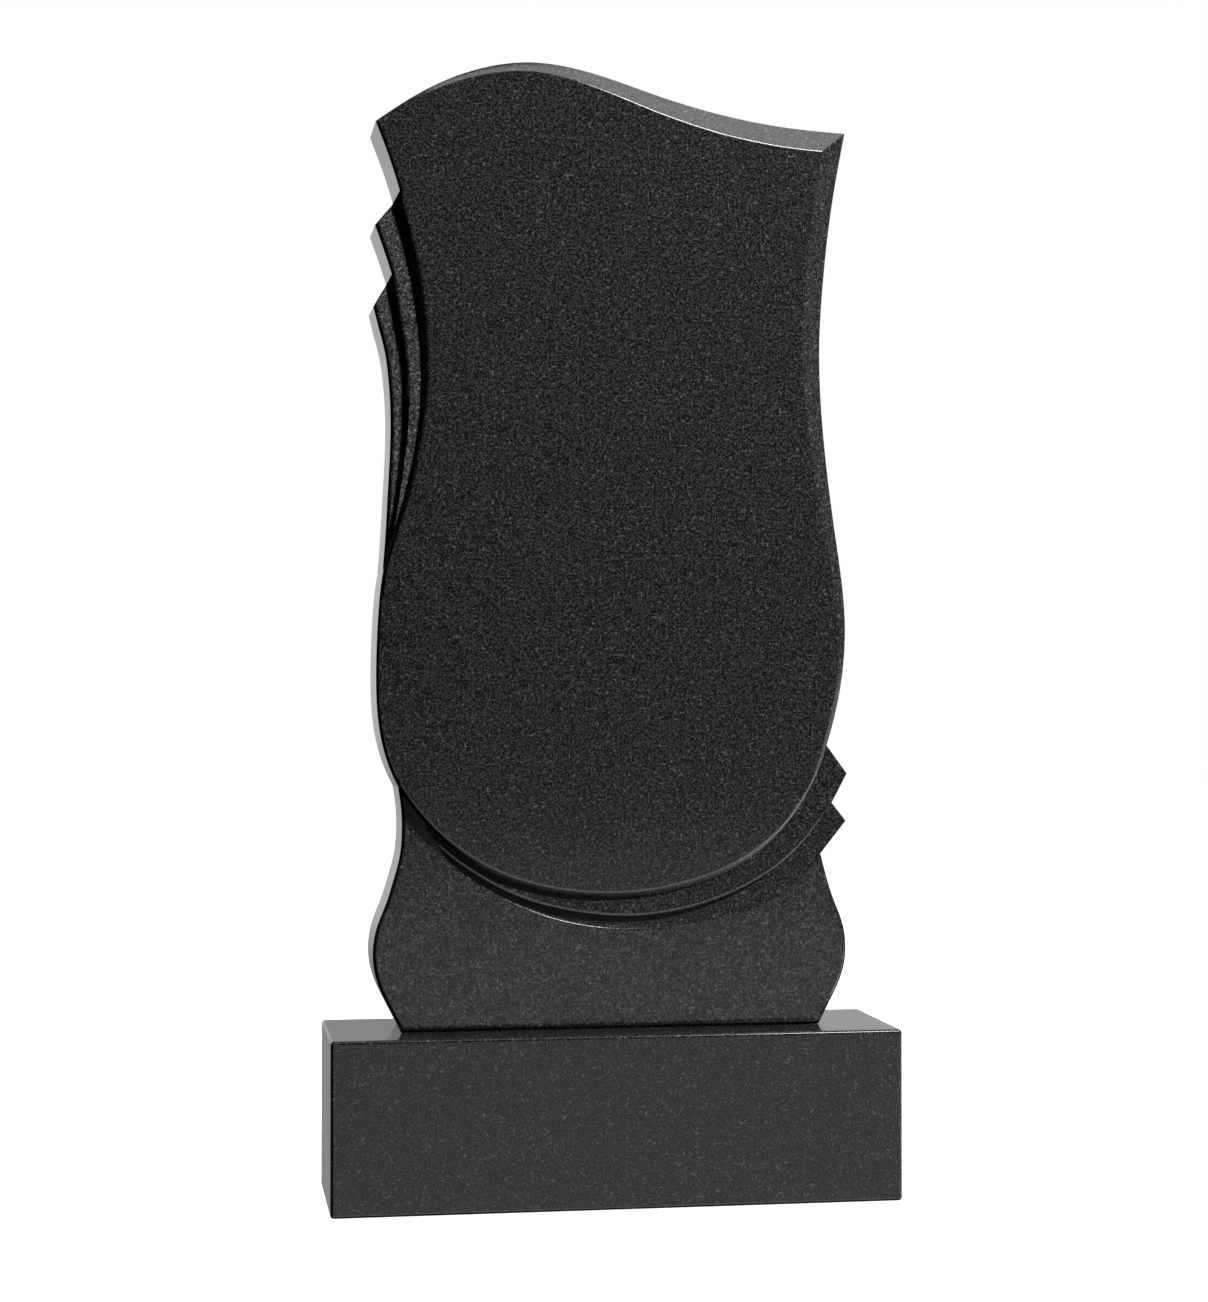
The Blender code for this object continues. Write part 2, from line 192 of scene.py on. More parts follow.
# The studio that the polish mirrors, as soft steps over a direction's x, y or z: where the step
# begins, where it is full, and how bright it is there.
BACK_WALL = (0.3, 0.75, 1.0)
BACK_WALL_MIDDLE = 0.5
BACK_WALL_RIGHT = (0.05, 0.45, 0.30)
BACK_WALL_LEFT = (0.03, -0.06, 0.25)
BACK_WALL_BELOW = 0.48
BACK_WALL_ABOVE = (-0.13, 0.0, 0.52)
FRONT_HALF = (0.05, -0.3, 1.0)
RIGHT_WALL = (0.35, 0.95, 0.12)
GROUND_FAR = (-0.052, -0.088, 0.8)
GROUND_NEAR = (-0.2, -0.4, 1.4)
GROUND_UNDERFOOT = (-0.9, -0.5, 1.0)
GROUND_MIDDLE = (-0.45, -0.1, 1.0)
GROUND_RIGHT = (0.35, 0.8, 1.0)
DARK_CORNERS = 0.005

# The lights: place, the point that each is turned to, and width and height.
KEY_LIGHT = ((2.3, -1.75, 2.6), (0, 0, 0.5), (0.5, 0.5))
FILL_LIGHT = ((-2.2, 1.9, 1.6), (0, 0, 0.5), (1.2, 1.2))
TOP_LIGHT = ((0.25, -1.1, 2.7), (0, -0.05, 0.8), (1.7, 0.6))
ACCENT_LIGHT = ((1.08, -1.9, 2.6), (0, -0.05, 0.6), (0.6, 0.6))

# The floor lies a hair under the plinth.
FLOOR_REACH = 9
FLOOR_GAP = 0.0005
FLOOR_ROUGHNESS = 0.9
WHITE = (1, 1, 1, 1)

# The camera, with its angles in degrees and its sensor in millimetres.
CAMERA_PLACE = (-0.3688, -2.2564, 0.4492)
CAMERA_TILT = 90.84
CAMERA_TURN = -9.20
SENSOR_WIDTH = 36


class SlabSettings(bpy.types.PropertyGroup):
    """Sizes of the carved slab's finish."""

    spacing: bpy.props.FloatProperty(
        name="Sample spacing", description="Distance between the samples of a carved edge",
        default=0.0032, min=0.001, unit="LENGTH",
    )
    softness: bpy.props.FloatProperty(
        name="Edge softness", description="How far polishing has rounded each sharp edge over",
        default=0.0014, min=0.0001, unit="LENGTH",
    )
    crease_angle: bpy.props.FloatProperty(
        name="Crease angle", description="Edges that turn more than this are shaded sharp",
        default=math.radians(28), subtype="ANGLE",
    )
    mitre_angle: bpy.props.FloatProperty(
        name="Mitre angle",
        description="Bevels whose headings differ by more than this meet in a sharp line",
        default=math.radians(35), subtype="ANGLE",
    )


class PlinthSettings(bpy.types.PropertyGroup):
    """Sizes of the plinth block."""

    size: bpy.props.FloatVectorProperty(
        name="Size", description="Width, depth and height of the block",
        default=tuple(PLINTH_HIGH - PLINTH_LOW), size=3, subtype="XYZ_LENGTH",
    )
    arris: bpy.props.FloatProperty(
        name="Arris", description="Radius of the block's rounded edges",
        default=0.003, min=0.0005, unit="LENGTH",
    )


class GraniteSettings(bpy.types.PropertyGroup):
    """Colours and gloss of the granite."""

    ground: bpy.props.FloatVectorProperty(
        name="Ground", description="Colour of the dark mass of the stone",
        default=(0.0075, 0.0077, 0.0082), size=3, subtype="COLOR", min=0, max=1,
    )
    fleck: bpy.props.FloatVectorProperty(
        name="Fleck", description="Colour of the light crystals",
        default=(0.16, 0.163, 0.168), size=3, subtype="COLOR", min=0, max=1,
    )
    fleck_size: bpy.props.FloatProperty(
        name="Fleck size", description="Width of one crystal cluster", default=0.0030, unit="LENGTH",
    )
    # How much paler the upper petals' faces are painted than the panel's granite.
    petal_paleness: bpy.props.FloatProperty(
        name="Rubbed petals", description="How much paler the hand-rubbed upper petals are", default=1.3,
    )
    polish: bpy.props.FloatProperty(
        name="Polish roughness", description="Roughness of the polished faces", default=0.12,
    )


class StageSettings(bpy.types.PropertyGroup):
    """Camera and light of the stage."""

    lens: bpy.props.FloatProperty(
        name="Lens", description="Focal length in millimetres on a 36 mm long side", default=70.8,
    )
    floor_colour: bpy.props.FloatVectorProperty(
        name="Floor", description="Colour of the pale floor", default=(0.93, 0.93, 0.93), size=3,
        subtype="COLOR", min=0, max=1,
    )
    key_power: bpy.props.FloatProperty(
        name="Key light", description="Watts of the light on the front", default=210.0,
    )
    fill_power: bpy.props.FloatProperty(
        name="Fill light", description="Watts of the light on the back and the left side", default=50.0,
    )
    top_power: bpy.props.FloatProperty(
        name="Top light", description="Watts of the soft light above", default=12.0,
    )
    accent_power: bpy.props.FloatProperty(
        name="Accent light", description="Watts of the small light that gleams in the bevels",
        default=55.0,
    )


def on_slab(points):
    """Drawn points as metres on the slab. Any further columns are millimetres that don't stretch."""
    table = np.array(points, float)
    table[:, 0] *= SLAB_WIDTH / DRAWN_WIDTH
    table[:, 1] *= SLAB_HEIGHT / DRAWN_HEIGHT
    table[:, 2:] /= 1000
    return table


def evenly_sampled(path, count):
    """The same line with this many samples, evenly spread along it."""
    spans = np.linalg.norm(np.diff(path[:, :2], axis=0), axis=1)
    along = np.concatenate([[0], np.cumsum(spans)])
    wanted = np.linspace(0, along[-1], count)
    return np.column_stack([np.interp(wanted, along, column) for column in path.T])


def straight_path(points):
    """Straight runs between the points, sampled as coarsely as a hidden or a straight edge allows."""
    knots = on_slab(points)
    samples = [knots[:1]]
    for start, end in zip(knots, knots[1:]):
        steps = max(1, round(np.linalg.norm(end[:2] - start[:2]) / STRAIGHT_SPACING))
        share = np.linspace(0, 1, steps + 1)[1:, None]
        samples.append(start * (1 - share) + end * share)
    return np.vstack(samples)


def smooth_path(points, spacing):
    """A natural cubic spline through the points, with its further columns following along it."""
    knots = on_slab(points)
    places = knots[:, :2]
    spans = np.linalg.norm(np.diff(places, axis=0), axis=1)
    slopes = np.diff(places, axis=0) / spans[:, None]
    system = np.eye(len(knots))
    change = np.zeros_like(places)
    for i in range(1, len(knots) - 1):
        system[i, i - 1:i + 2] = spans[i - 1], 2 * (spans[i - 1] + spans[i]), spans[i]
        change[i] = 6 * (slopes[i] - slopes[i - 1])
    bend = np.linalg.solve(system, change)
    samples = []
    for i, span in enumerate(spans):
        for share in np.arange(CURVE_STEPS) / CURVE_STEPS:
            ahead = share * span
            left = span - ahead
            place = (bend[i] * left ** 3 + bend[i + 1] * ahead ** 3) / (6 * span)
            place += (places[i] / span - bend[i] * span / 6) * left
            place += (places[i + 1] / span - bend[i + 1] * span / 6) * ahead
            samples.append([*place, *(knots[i, 2:] * (1 - share) + knots[i + 1, 2:] * share)])
    samples.append(knots[-1])
    return evenly_sampled(np.array(samples), max(3, round(spans.sum() / spacing) + 1))


def bevelled(path, width, depth):
    """The path with a bevel of this width and depth: one value, or a value for each sample."""
    full_width = np.broadcast_to(width, len(path))
    full_depth = np.broadcast_to(depth, len(path))
    return np.column_stack([path[:, :2], full_width, full_depth])


def moved_inward(path, distance):
    """The path moved to its right, which is inward on a clockwise outline."""
    along = np.gradient(path[:, :2], axis=0)
    along /= np.linalg.norm(along, axis=1)[:, None]
    inward = np.column_stack([along[:, 1], -along[:, 0]])
    return path[:, :2] + inward * distance[:, None]


def trimmed_at_corner(first, second):
    """Both paths cut where the first one's end meets the second one's start.

    A path that stops short of the corner is run on straight to it.
    """
    ending = first[-1] - first[-2]
    beginning = second[1] - second[0]
    tail = first[-1] + ending / np.linalg.norm(ending) * CORNER_REACH
    head = second[0] - beginning / np.linalg.norm(beginning) * CORNER_REACH
    leading = np.vstack([first, tail])
    following = np.vstack([head, second])
    for i in range(len(leading) - 2, -1, -1):
        for j in range(len(following) - 1):
            run = leading[i + 1] - leading[i]
            other = following[j + 1] - following[j]
            turn = run[0] * other[1] - run[1] * other[0]
            if abs(turn) < PARALLEL_TURN:
                continue
            gap = following[j] - leading[i]
            share = (gap[0] * other[1] - gap[1] * other[0]) / turn
            other_share = (gap[0] * run[1] - gap[1] * run[0]) / turn
            if 0 <= share <= 1 and 0 <= other_share <= 1:
                corner = leading[i] + run * share
                return np.vstack([leading[:i + 1], corner]), np.vstack([corner, following[j + 1:]])
    raise ValueError("two bevelled edges of the outline don't meet at their corner")


def inset_ring(stretches, inset):
    """Every stretch of a closed clockwise outline moved inward by inset(stretch), mitred at corners.

    Where one stretch ends short of the next one, at a notch, the two are left as they are.
    """
    inner = [moved_inward(stretch, inset(stretch)) for stretch in stretches]
    for i in range(len(inner)):
        after = (i + 1) % len(inner)
        if np.allclose(stretches[i][-1, :2], stretches[after][0, :2]):
            inner[i], inner[after] = trimmed_at_corner(inner[i], inner[after])
    return np.vstack([evenly_sampled(path, len(stretch)) for path, stretch in zip(inner, stretches)])


def softened(width, softness):
    """How far to each side of a bevel's upper edge it is rounded over, for a bevel of this width."""
    return np.minimum(softness, (width - TIP_ARRIS) * SOFT_SHARE)


def stone_tier(name, stretches, recess, softness):
    """A tier of the slab, right through its thickness, from a closed clockwise outline.

    recess(x, z) gives how far its face lies behind the main panel's face. The bevel's upper edge is
    rounded over by the softness, in one more narrow facet.
    """
    outer = np.vstack(stretches)
    bevel_width, bevel_depth = outer[:, 2], outer[:, 3]
    slope = bevel_depth / bevel_width
    soft = softened(bevel_width, softness)
    face_edge = inset_ring(stretches, lambda path: path[:, 2] + softened(path[:, 2], softness))
    bevel_top = inset_ring(stretches, lambda path: path[:, 2] - softened(path[:, 2], softness))
    back_edge = inset_ring(stretches, lambda path: np.full(len(path), SLAB_ARRIS))
    front = SLAB_LOW.y
    back = SLAB_HIGH.y
    rings = [
        (face_edge, front + recess(face_edge[:, 0], face_edge[:, 1])),
        (bevel_top, front + recess(bevel_top[:, 0], bevel_top[:, 1]) + soft * slope),
        (outer, front + recess(outer[:, 0], outer[:, 1]) + bevel_depth),
        (outer, np.full(len(outer), back - SLAB_ARRIS)),
        (back_edge, np.full(len(outer), back)),
    ]
    mesh = bmesh.new()
    rows = []
    for points, depths in rings:
        places = [(point[0], depth, point[1] + SLAB_LOW.z) for point, depth in zip(points, depths)]
        rows.append([mesh.verts.new(place) for place in places])
    mesh.faces.new(rows[0])
    mesh.faces.new(rows[-1][::-1])
    for ahead, behind in zip(rows, rows[1:]):
        for i in range(len(outer)):
            after = (i + 1) % len(outer)
            mesh.faces.new((ahead[i], behind[i], behind[after], ahead[after]))
    bmesh.ops.remove_doubles(mesh, verts=mesh.verts[:], dist=MERGE_DISTANCE)
    bmesh.ops.recalc_face_normals(mesh, faces=mesh.faces[:])
    data = bpy.data.meshes.new(name)
    mesh.to_mesh(data)
    mesh.free()
    return bpy.data.objects.new(name, data)


def share_between(value, start, end):
    """Where a value lies between two others, as a share from 0 to 1."""
    return np.clip((value - start) / (end - start), 0, 1)


def height_on_slab(drawn):
    """A drawn height in metres above the slab's foot."""
    return drawn * (SLAB_HEIGHT / DRAWN_HEIGHT)


def upper_petal_recess(number, point):
    """A petal's face that sinks evenly from where it runs out to its point."""
    shallow, deep = UPPER_PETAL_RECESS[number]
    low = height_on_slab(PETALS_RUN_OUT)
    high = height_on_slab(point[1])

    def recess(x, z):
        return shallow + (deep - shallow) * np.maximum(0, (z - low) / (high - low))

    return recess


def lower_petal_recess(number):
    """A petal's face that rises evenly from the left of the slab to the right, and leans upwards."""
    left, right = LOWER_PETAL_RECESS[number]
    foot = height_on_slab(LOWER_PETALS_FOOT)

    def recess(x, z):
        across = share_between(x, SLAB_LOW.x, SLAB_HIGH.x)
        return left + (right - left) * across + LOWER_PETAL_LEAN * (z - foot)

    return recess


def main_panel(spacing, softness):
    """The foremost tier, with its wide bevel along the top and down the right.

    Beside the upper petals its bevel reaches down to the first petal's face.
    """
    side = smooth_path(PANEL_SIDE, spacing)
    recess = upper_petal_recess(0, FIRST_PETAL_TOP[0])
    beside_petals = (side[:, 0] < 0) & (side[:, 1] > height_on_slab(PETALS_RUN_OUT))
    side[beside_petals, 3] = recess(side[:, 0], side[:, 1])[beside_petals] + BEVEL_SEAT
    shoulder = bevelled(smooth_path(PANEL_SHOULDER, spacing), SLAB_ARRIS, SLAB_ARRIS)
    stretches = [side, shoulder, smooth_path(PANEL_TOP, spacing)]
    return stone_tier("main_panel", stretches, lambda x, z: np.zeros(len(x)), softness)


def first_petal(spacing, softness):
    """The upper left petal next to the panel. Its own edge steps down to the petal beyond it."""
    recess = upper_petal_recess(0, FIRST_PETAL_TOP[0])
    beyond = upper_petal_recess(1, SECOND_PETAL_TOP[0])
    side = smooth_path(FIRST_PETAL_SIDE, spacing)
    x, z, width = side.T
    side = bevelled(side, width, beyond(x, z) - recess(x, z) + BEVEL_SEAT)
    shoulder = bevelled(smooth_path(FIRST_PETAL_SHOULDER, spacing), SLAB_ARRIS, SLAB_ARRIS)
    top = bevelled(smooth_path(FIRST_PETAL_TOP, spacing), TIP_ARRIS, TIP_ARRIS)
    hidden = bevelled(straight_path(FIRST_PETAL_BACK), TIP_ARRIS, TIP_ARRIS)
    return stone_tier("first_petal", [side, shoulder, top, hidden], recess, softness)


def second_petal(spacing, softness):
    """The outermost upper left petal."""
    side = bevelled(smooth_path(SECOND_PETAL_SIDE, spacing), SLAB_ARRIS, SLAB_ARRIS)
    top = bevelled(smooth_path(SECOND_PETAL_TOP, spacing), TIP_ARRIS, TIP_ARRIS)
    hidden = bevelled(straight_path(SECOND_PETAL_BACK), TIP_ARRIS, TIP_ARRIS)
    recess = upper_petal_recess(1, SECOND_PETAL_TOP[0])
    return stone_tier("second_petal", [side, top, hidden], recess, softness)


def third_petal(spacing, softness):
    """The lower right petal next to the panel. Its bevel narrows towards the tip at the right."""
    top = bevelled(smooth_path(THIRD_PETAL_TOP, spacing), TIP_ARRIS, TIP_ARRIS)
    tip = bevelled(straight_path(THIRD_PETAL_TIP), TIP_ARRIS, TIP_ARRIS)
    edge = smooth_path(THIRD_PETAL_EDGE, spacing)
    narrowing = share_between(edge[:, 0], SLAB_WIDTH / 8, SLAB_WIDTH / 2)
    bevel = LOWER_PETAL_BEVEL + (TIP_ARRIS - LOWER_PETAL_BEVEL) * narrowing
    depth = LOWER_PETAL_BEVEL_DEPTH + (TIP_ARRIS - LOWER_PETAL_BEVEL_DEPTH) * narrowing
    edge = bevelled(edge, bevel, depth)
    hidden = bevelled(straight_path(THIRD_PETAL_BACK), TIP_ARRIS, TIP_ARRIS)
    return stone_tier("third_petal", [top, tip, edge, hidden], lower_petal_recess(0), softness)


def fourth_petal(spacing, softness):
    """The lowest right petal, which the base's crease meets from below."""
    paths = [
        smooth_path(FOURTH_PETAL_TOP, spacing),
        straight_path(FOURTH_PETAL_TIP),
        straight_path(FOURTH_PETAL_BACK),
    ]
    stretches = [bevelled(path, TIP_ARRIS, TIP_ARRIS) for path in paths]
    return stone_tier("fourth_petal", stretches, lower_petal_recess(1), softness)


def base_tier(spacing, softness):
    """The flared base under the panel. Its crease sharpens towards its hidden end at the left."""
    right_side = BASE_SIDE[::-1]
    left_side = [(-x, z) for x, z in BASE_SIDE]
    foot = [BASE_SIDE[0], left_side[0]]
    hidden = [BASE_NECK[-1], BASE_CREASE[0]]
    crease = smooth_path(BASE_CREASE, spacing)
    widening = share_between(crease[:, 0], -SLAB_WIDTH * 3 / 8, -SLAB_WIDTH / 5)
    crease_arris = TIP_ARRIS + (CREASE_ARRIS - TIP_ARRIS) * widening
    stretches = [
        bevelled(smooth_path(right_side, spacing), SLAB_ARRIS, SLAB_ARRIS),
        bevelled(straight_path(foot), FOOT_ARRIS, FOOT_ARRIS),
        bevelled(smooth_path(left_side[:-1] + BASE_NECK, spacing), SLAB_ARRIS, SLAB_ARRIS),
        bevelled(straight_path(hidden), TIP_ARRIS, TIP_ARRIS),
        bevelled(crease, crease_arris, crease_arris),
    ]
    return stone_tier("base_tier", stretches, lambda x, z: np.full(len(x), BASE_RECESS), softness)


def joined_stone(name, body, others):
    """One plain mesh object from a body and the tiers that overlap it, which are then removed."""
    scene = bpy.context.scene
    group = bpy.data.collections.new("tiers")
    scene.collection.children.link(group)
    scene.collection.objects.link(body)
    for other in others:
        group.objects.link(other)
    union = body.modifiers.new("joined tiers", "BOOLEAN")
    union.operation = "UNION"
    union.solver = "EXACT"
    union.use_self = True
    union.operand_type = "COLLECTION"
    union.collection = group
    data = plain_mesh(body, name)
    for old in [body, *others]:
        bpy.data.objects.remove(old)
    bpy.data.collections.remove(group)
    stone = bpy.data.objects.new(name, data)
    scene.collection.objects.link(stone)
    return stone


def plain_mesh(obj, name):
    """The object's evaluated shape as a mesh of its own."""
    graph = bpy.context.evaluated_depsgraph_get()
    graph.update()
    data = bpy.data.meshes.new_from_object(obj.evaluated_get(graph), depsgraph=graph)
    data.name = name
    return data


def sharpen_mitres(stone, mitre_angle):
    """Marks the mitres as sharp, where the bevels of two edges meet although neither turns much."""
    mesh = bmesh.new()
    mesh.from_mesh(stone.data)
    for edge in mesh.edges:
        if len(edge.link_faces) == 2:
            first, second = [Vector((face.normal.x, face.normal.z)) for face in edge.link_faces]
            if min(first.length, second.length) > FLAT_FACE and first.angle(second) > mitre_angle:
                edge.smooth = False
    mesh.to_mesh(stone.data)
    mesh.free()


def shade_polished(stone, crease_angle, mitre_angle=None):
    """Smooth shading between the edges that turn sharply, with the big flat faces kept flat."""
    stone.data.shade_smooth()
    stone.data.set_sharp_from_angle(angle=crease_angle)
    if mitre_angle:
        sharpen_mitres(stone, mitre_angle)
    weighting = stone.modifiers.new("flat faces", "WEIGHTED_NORMAL")
    weighting.keep_sharp = True
    stone.data = plain_mesh(stone, stone.name)
    stone.modifiers.remove(weighting)


def feed(tree, sockets, values):
    """Gives each socket its value, which is another node's output or a constant."""
    for socket, value in zip(sockets, values):
        if isinstance(value, bpy.types.NodeSocket):
            tree.links.new(value, socket)
        else:
            socket.default_value = value


def math_node(tree, operation, *values, clamp=False):
    """The result of a Math node on outputs or numbers."""
    node = tree.nodes.new("ShaderNodeMath")
    node.operation = operation
    node.use_clamp = clamp
    feed(tree, node.inputs, values)
    return node.outputs[0]


def soft_step(tree, value, low, high, new_low=0.0, new_high=1.0):
    """A value that turns smoothly from the new low one to the new high one."""
    node = tree.nodes.new("ShaderNodeMapRange")
    node.interpolation_type = "SMOOTHSTEP"
    names = ("Value", "From Min", "From Max", "To Min", "To Max")
    feed(tree, [node.inputs[name] for name in names], (value, low, high, new_low, new_high))
    return node.outputs["Result"]


def rounded_block_tree(material):
    """A node tree that makes a block with evenly rounded edges from its size and edge radius.

    A sampled cube is spread so that the outer half of its samples, from the middle of each face to
    its edge, lies in the rounded edge. Each sample is then drawn in to one radius from the core.
    """
    tree = bpy.data.node_groups.new("Rounded block", "GeometryNodeTree")
    tree.is_modifier = True
    kinds = {"Size": "NodeSocketVector", "Arris": "NodeSocketFloat", "Centre": "NodeSocketVector"}
    for name, kind in kinds.items():
        tree.interface.new_socket(name=name, in_out="INPUT", socket_type=kind)
    tree.interface.new_socket(name="Geometry", in_out="OUTPUT", socket_type="NodeSocketGeometry")
    given = tree.nodes.new("NodeGroupInput")
    result = tree.nodes.new("NodeGroupOutput")
    cube = tree.nodes.new("GeometryNodeMeshCube")
    cube.inputs["Size"].default_value = (2, 2, 2)
    for axis in "XYZ":
        cube.inputs["Vertices " + axis].default_value = BLOCK_SAMPLES

    def vector(operation, *values):
        node = tree.nodes.new("ShaderNodeVectorMath")
        node.operation = operation
        feed(tree, [socket for socket in node.inputs if socket.enabled], values)
        return node.outputs["Vector"]

    def remapped(*values):
        node = tree.nodes.new("ShaderNodeMapRange")
        node.data_type = "FLOAT_VECTOR"
        node.clamp = True
        feed(tree, [socket for socket in node.inputs if socket.enabled], values)
        return node.outputs["Vector"]

    nothing, halfway, whole = [(share, share, share) for share in (0.0, 0.5, 1.0)]
    place = tree.nodes.new("GeometryNodeInputPosition").outputs[0]
    arris_vector = tree.nodes.new("ShaderNodeCombineXYZ")
    for socket in arris_vector.inputs:
        tree.links.new(given.outputs["Arris"], socket)
    radius = arris_vector.outputs[0]
    half = vector("MULTIPLY", given.outputs["Size"], halfway)
    core = vector("SUBTRACT", half, radius)
    from_middle = vector("ABSOLUTE", place)
    inside = remapped(from_middle, nothing, halfway, nothing, core)
    outside = remapped(from_middle, halfway, whole, nothing, radius)
    spread = vector("MULTIPLY", vector("ADD", inside, outside), vector("SIGN", place))
    anchor = vector("MULTIPLY", inside, vector("SIGN", place))
    away = vector("SUBTRACT", spread, anchor)
    drawn = vector("MULTIPLY", vector("NORMALIZE", away), radius)
    final = vector("ADD", vector("ADD", anchor, drawn), given.outputs["Centre"])

    move = tree.nodes.new("GeometryNodeSetPosition")
    tree.links.new(cube.outputs["Mesh"], move.inputs["Geometry"])
    tree.links.new(final, move.inputs["Position"])
    realize = tree.nodes.new("GeometryNodeRealizeInstances")
    tree.links.new(move.outputs["Geometry"], realize.inputs["Geometry"])
    paint = tree.nodes.new("GeometryNodeSetMaterial")
    paint.inputs["Material"].default_value = material
    tree.links.new(realize.outputs["Geometry"], paint.inputs["Geometry"])
    tree.links.new(paint.outputs["Geometry"], result.inputs["Geometry"])
    return tree


def polished_granite(name, settings, brightness, back_y):
    """Dark granite with fine light flecks, polished on its faces and honed on its plain back.

    The flecks are the thin contour lines of one noise, broken up by another, over soft mottling.
    """
    material = bpy.data.materials.new(name)
    material.use_nodes = True
    tree = material.node_tree
    shader = tree.nodes["Principled BSDF"]
    where = tree.nodes.new("ShaderNodeTexCoord").outputs["Object"]

    def noise(width, roughness, seed):
        mapping = tree.nodes.new("ShaderNodeMapping")
        mapping.inputs["Location"].default_value = [seed * share for share in SEED_SHIFT]
        node = tree.nodes.new("ShaderNodeTexNoise")
        node.inputs["Scale"].default_value = 1 / (settings.fleck_size * width)
        node.inputs["Detail"].default_value = NOISE_DETAIL
        node.inputs["Roughness"].default_value = roughness
        tree.links.new(where, mapping.inputs["Vector"])
        tree.links.new(mapping.outputs["Vector"], node.inputs["Vector"])
        return node.outputs["Fac"]

    from_middle = math_node(tree, "SUBTRACT", noise(*CONTOUR_NOISE), NOISE_MIDDLE)
    contours = soft_step(tree, math_node(tree, "ABSOLUTE", from_middle), *CONTOUR_STEP)
    gaps = soft_step(tree, noise(*GAP_NOISE), *GAP_STEP)
    crystals = math_node(tree, "MULTIPLY", contours, gaps)
    sparks = soft_step(tree, noise(*SPARK_NOISE), *SPARK_STEP)
    mottle = soft_step(tree, noise(*MOTTLE_NOISE), *MOTTLE_STEP, 0.0, MOTTLE_LIGHT)
    crystal_light = math_node(tree, "MULTIPLY", crystals, CRYSTAL_LIGHT)
    spark_light = math_node(tree, "MULTIPLY", sparks, SPARK_LIGHT)
    lit = math_node(tree, "ADD", crystal_light, mottle)
    lit = math_node(tree, "ADD", lit, spark_light, clamp=True)

    colour = tree.nodes.new("ShaderNodeMix")
    colour.data_type = "RGBA"
    ground, fleck = [socket for socket in colour.inputs if socket.type == "RGBA"]
    ground.default_value = (*[value * brightness for value in settings.ground], 1)
    fleck.default_value = (*[value * brightness for value in settings.fleck], 1)
    tree.links.new(lit, colour.inputs["Factor"])

    split = tree.nodes.new("ShaderNodeSeparateXYZ")
    tree.links.new(where, split.inputs[0])
    facing = tree.nodes.new("ShaderNodeSeparateXYZ")
    tree.links.new(tree.nodes.new("ShaderNodeNewGeometry").outputs["True Normal"], facing.inputs[0])
    # The upper petals' faces are painted paler than the panel's, through a soft mask of place and
    # facing.
    behind_panel = [SLAB_LOW.y + depth for depth in PALE_PETAL_RECESS]
    from_left = [SLAB_LOW.x + reach for reach in PALE_PETAL_REACH]
    pale_petal_mask = soft_step(tree, split.outputs["Y"], *behind_panel)
    for share in (
        soft_step(tree, split.outputs["X"], *from_left),
        soft_step(tree, split.outputs["Z"], *PALE_PETAL_FOOT),
        soft_step(tree, facing.outputs["Y"], *PALE_PETAL_FACING),
    ):
        pale_petal_mask = math_node(tree, "MULTIPLY", pale_petal_mask, share)
    lighten = tree.nodes.new("ShaderNodeVectorMath")
    lighten.operation = "SCALE"
    mixed = next(socket for socket in colour.outputs if socket.type == "RGBA")
    tree.links.new(mixed, lighten.inputs[0])
    paler = math_node(tree, "ADD", math_node(tree, "MULTIPLY", pale_petal_mask, settings.petal_paleness), 1.0)
    tree.links.new(paler, lighten.inputs["Scale"])
    tree.links.new(lighten.outputs[0], shader.inputs["Base Color"])

    near_back = [back_y - depth for depth in HONED_DEPTH]
    honed = soft_step(tree, split.outputs["Y"], *near_back, 0.0, HONED_ROUGHNESS)
    texture = math_node(tree, "MULTIPLY", lit, FLECK_ROUGHNESS)
    gloss = math_node(tree, "ADD", math_node(tree, "ADD", honed, texture), settings.polish)
    tree.links.new(gloss, shader.inputs["Roughness"])
    shader.inputs["IOR"].default_value = GRANITE_IOR
    shader.inputs["Metallic"].default_value = 0.0
    return material


def place_on_frame(piece, node):
    """Lets a finished piece ride on the one body and stand for its solid."""
    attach(piece, "root")
    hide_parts(node)


class HEADSTONE_OT_slab(bpy.types.Operator):
    """Builds the carved slab in stepped tiers and joins them into one stone."""

    bl_idname = "headstone.slab"
    bl_label = "Carved slab"

    def execute(self, context):
        settings = context.scene.headstone_slab
        makers = (first_petal, second_petal, third_petal, fourth_petal, base_tier)
        tiers = [make(settings.spacing, settings.softness) for make in makers]
        body = main_panel(settings.spacing, settings.softness)
        stone = joined_stone("carved_slab", body, tiers)
        shade_polished(stone, settings.crease_angle, settings.mitre_angle)
        granite = polished_granite(
            "slab_granite", context.scene.headstone_granite, SLAB_BRIGHTNESS, SLAB_HIGH.y,
        )
        stone.data.materials.clear()
        stone.data.materials.append(granite)
        place_on_frame(stone, "stele")
        return {"FINISHED"}


class HEADSTONE_OT_plinth(bpy.types.Operator):
    """Builds the plinth block with its rounded edges."""

    bl_idname = "headstone.plinth"
    bl_label = "Plinth"

    def execute(self, context):
        settings = context.scene.headstone_plinth
        granite = polished_granite(
            "plinth_granite", context.scene.headstone_granite, PLINTH_BRIGHTNESS, PLINTH_HIGH.y,
        )
        tree = rounded_block_tree(granite)
        holder = bpy.data.objects.new("plinth_holder", bpy.data.meshes.new("plinth_holder"))
        context.scene.collection.objects.link(holder)
        nodes = holder.modifiers.new("block", "NODES")
        nodes.node_group = tree
        centre = (PLINTH_LOW + PLINTH_HIGH) / 2
        values = {"Size": tuple(settings.size), "Arris": settings.arris, "Centre": tuple(centre)}
        for item in tree.interface.items_tree:
            if item.in_out == "INPUT":
                nodes[item.identifier] = values[item.name]
        data = plain_mesh(holder, "plinth_block")
        holder.modifiers.remove(nodes)
        bpy.data.objects.remove(holder)
        block = bpy.data.objects.new("plinth_block", data)
        context.scene.collection.objects.link(block)
        shade_polished(block, context.scene.headstone_slab.crease_angle)
        place_on_frame(block, "plinth")
        return {"FINISHED"}


